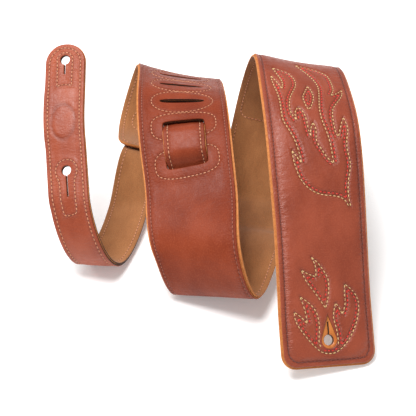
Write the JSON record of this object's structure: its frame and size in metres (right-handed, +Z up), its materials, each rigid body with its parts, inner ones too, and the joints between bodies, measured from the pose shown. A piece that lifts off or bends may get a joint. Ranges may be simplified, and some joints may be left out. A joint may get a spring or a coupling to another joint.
{
  "type": "guitar strap",
  "caption": "Padded leather instrument strap threaded through slots to a narrow adjuster strap, lying in loose loops, with pin holes at both ends.",
  "frame": {"origin": "centre of the bounding box base, on the surface that the strap lies on", "axes": "+Z up; the loops open to the side, along +X; the padded button end lies toward -Y, the viewer side"},
  "size_m": [0.2208, 0.2592, 0.1181],
  "materials": {
    "foam": "closed-cell foam padding, matt",
    "russet_leather": "smooth garment leather, semi-gloss",
    "tan_leather": "vegetable-tanned leather, satin",
    "tan_suede": "brushed suede, matt"
  },
  "bodies": {
    "base": {"base_leather": "russet_leather", "base_suede": "tan_suede"},
    "shoulder_back": {"shoulder_back_leather": "russet_leather", "shoulder_back_foam": "foam", "shoulder_back_suede": "tan_suede"},
    "shoulder_front": {"shoulder_front_leather": "russet_leather", "shoulder_front_foam": "foam", "shoulder_front_suede": "tan_suede"},
    "button_end": {"button_end_leather": "russet_leather", "button_end_foam": "foam", "pin_hole_patch": "tan_leather", "button_end_suede": "tan_suede"},
    "slotted_front": {"slotted_front_leather": "russet_leather", "slotted_front_suede": "tan_suede", "adjuster_bridge_leather": "russet_leather", "adjuster_bridge_suede": "tan_suede"},
    "slotted_end": {"slotted_end_leather": "russet_leather", "slotted_end_suede": "tan_suede", "adjuster_threaded_leather": "russet_leather", "adjuster_threaded_suede": "tan_suede"},
    "adjuster_base": {"adjuster_base_leather": "russet_leather", "adjuster_base_suede": "tan_suede"},
    "adjuster_front": {"adjuster_front_leather": "russet_leather", "adjuster_front_suede": "tan_suede"},
    "adjuster_tip": {"adjuster_tip_leather": "russet_leather", "adjuster_tip_suede": "tan_suede"}
  },
  "joints": [
    {"name": "back_flex", "type": "hinge", "parent": "base", "child": "shoulder_back", "pos_m": [0.05304, 0.08585, 0.03407], "axis": [0.9774, -0.1416, -0.1566], "range_deg": [-20, 6], "stiffness_Nm_per_rad": 2, "springref_deg": -1.19},
    {"name": "crest_flex", "type": "hinge", "parent": "shoulder_back", "child": "shoulder_front", "pos_m": [0.06867, 0.04326, 0.1077], "axis": [0.9869, 0.0581, -0.1506], "range_deg": [-20, 6], "stiffness_Nm_per_rad": 1.5, "springref_deg": -1.09},
    {"name": "button_flex", "type": "hinge", "parent": "shoulder_front", "child": "button_end", "pos_m": [0.07528, -0.04615, 0.06957], "axis": [0.9723, 0.1802, -0.1488], "range_deg": [-20, 8], "stiffness_Nm_per_rad": 1, "springref_deg": -0.36},
    {"name": "fold_flex", "type": "hinge", "parent": "base", "child": "slotted_front", "pos_m": [0.0039, -0.06937, 0.01985], "axis": [0.8684, -0.3489, 0.3523], "range_deg": [-4, 20], "stiffness_Nm_per_rad": 2, "springref_deg": 1.78},
    {"name": "slot_flex", "type": "hinge", "parent": "slotted_front", "child": "slotted_end", "pos_m": [-0.01572, 0.0632, 0.08336], "axis": [0.9966, 0.0241, -0.0787], "range_deg": [-20, 20], "stiffness_Nm_per_rad": 1.2, "springref_deg": 0.1},
    {"name": "adjuster_base_flex", "type": "hinge", "parent": "slotted_end", "child": "adjuster_base", "pos_m": [-0.05105, 0.05089, 0.01671], "axis": [0.9843, -0.0909, -0.1516], "range_deg": [-15, 25], "stiffness_Nm_per_rad": 0.8, "springref_deg": -0.56},
    {"name": "adjuster_fold_flex", "type": "hinge", "parent": "adjuster_base", "child": "adjuster_front", "pos_m": [-0.08032, -0.03979, 0.02824], "axis": [0.9069, -0.1953, 0.3734], "range_deg": [-15, 25], "stiffness_Nm_per_rad": 0.8, "springref_deg": 0.29},
    {"name": "adjuster_tip_flex", "type": "hinge", "parent": "adjuster_front", "child": "adjuster_tip", "pos_m": [-0.09575, 0.03388, 0.09129], "axis": [0.9905, -0.049, 0.1284], "range_deg": [-25, 25], "stiffness_Nm_per_rad": 0.4, "springref_deg": 0.08}
  ]
}
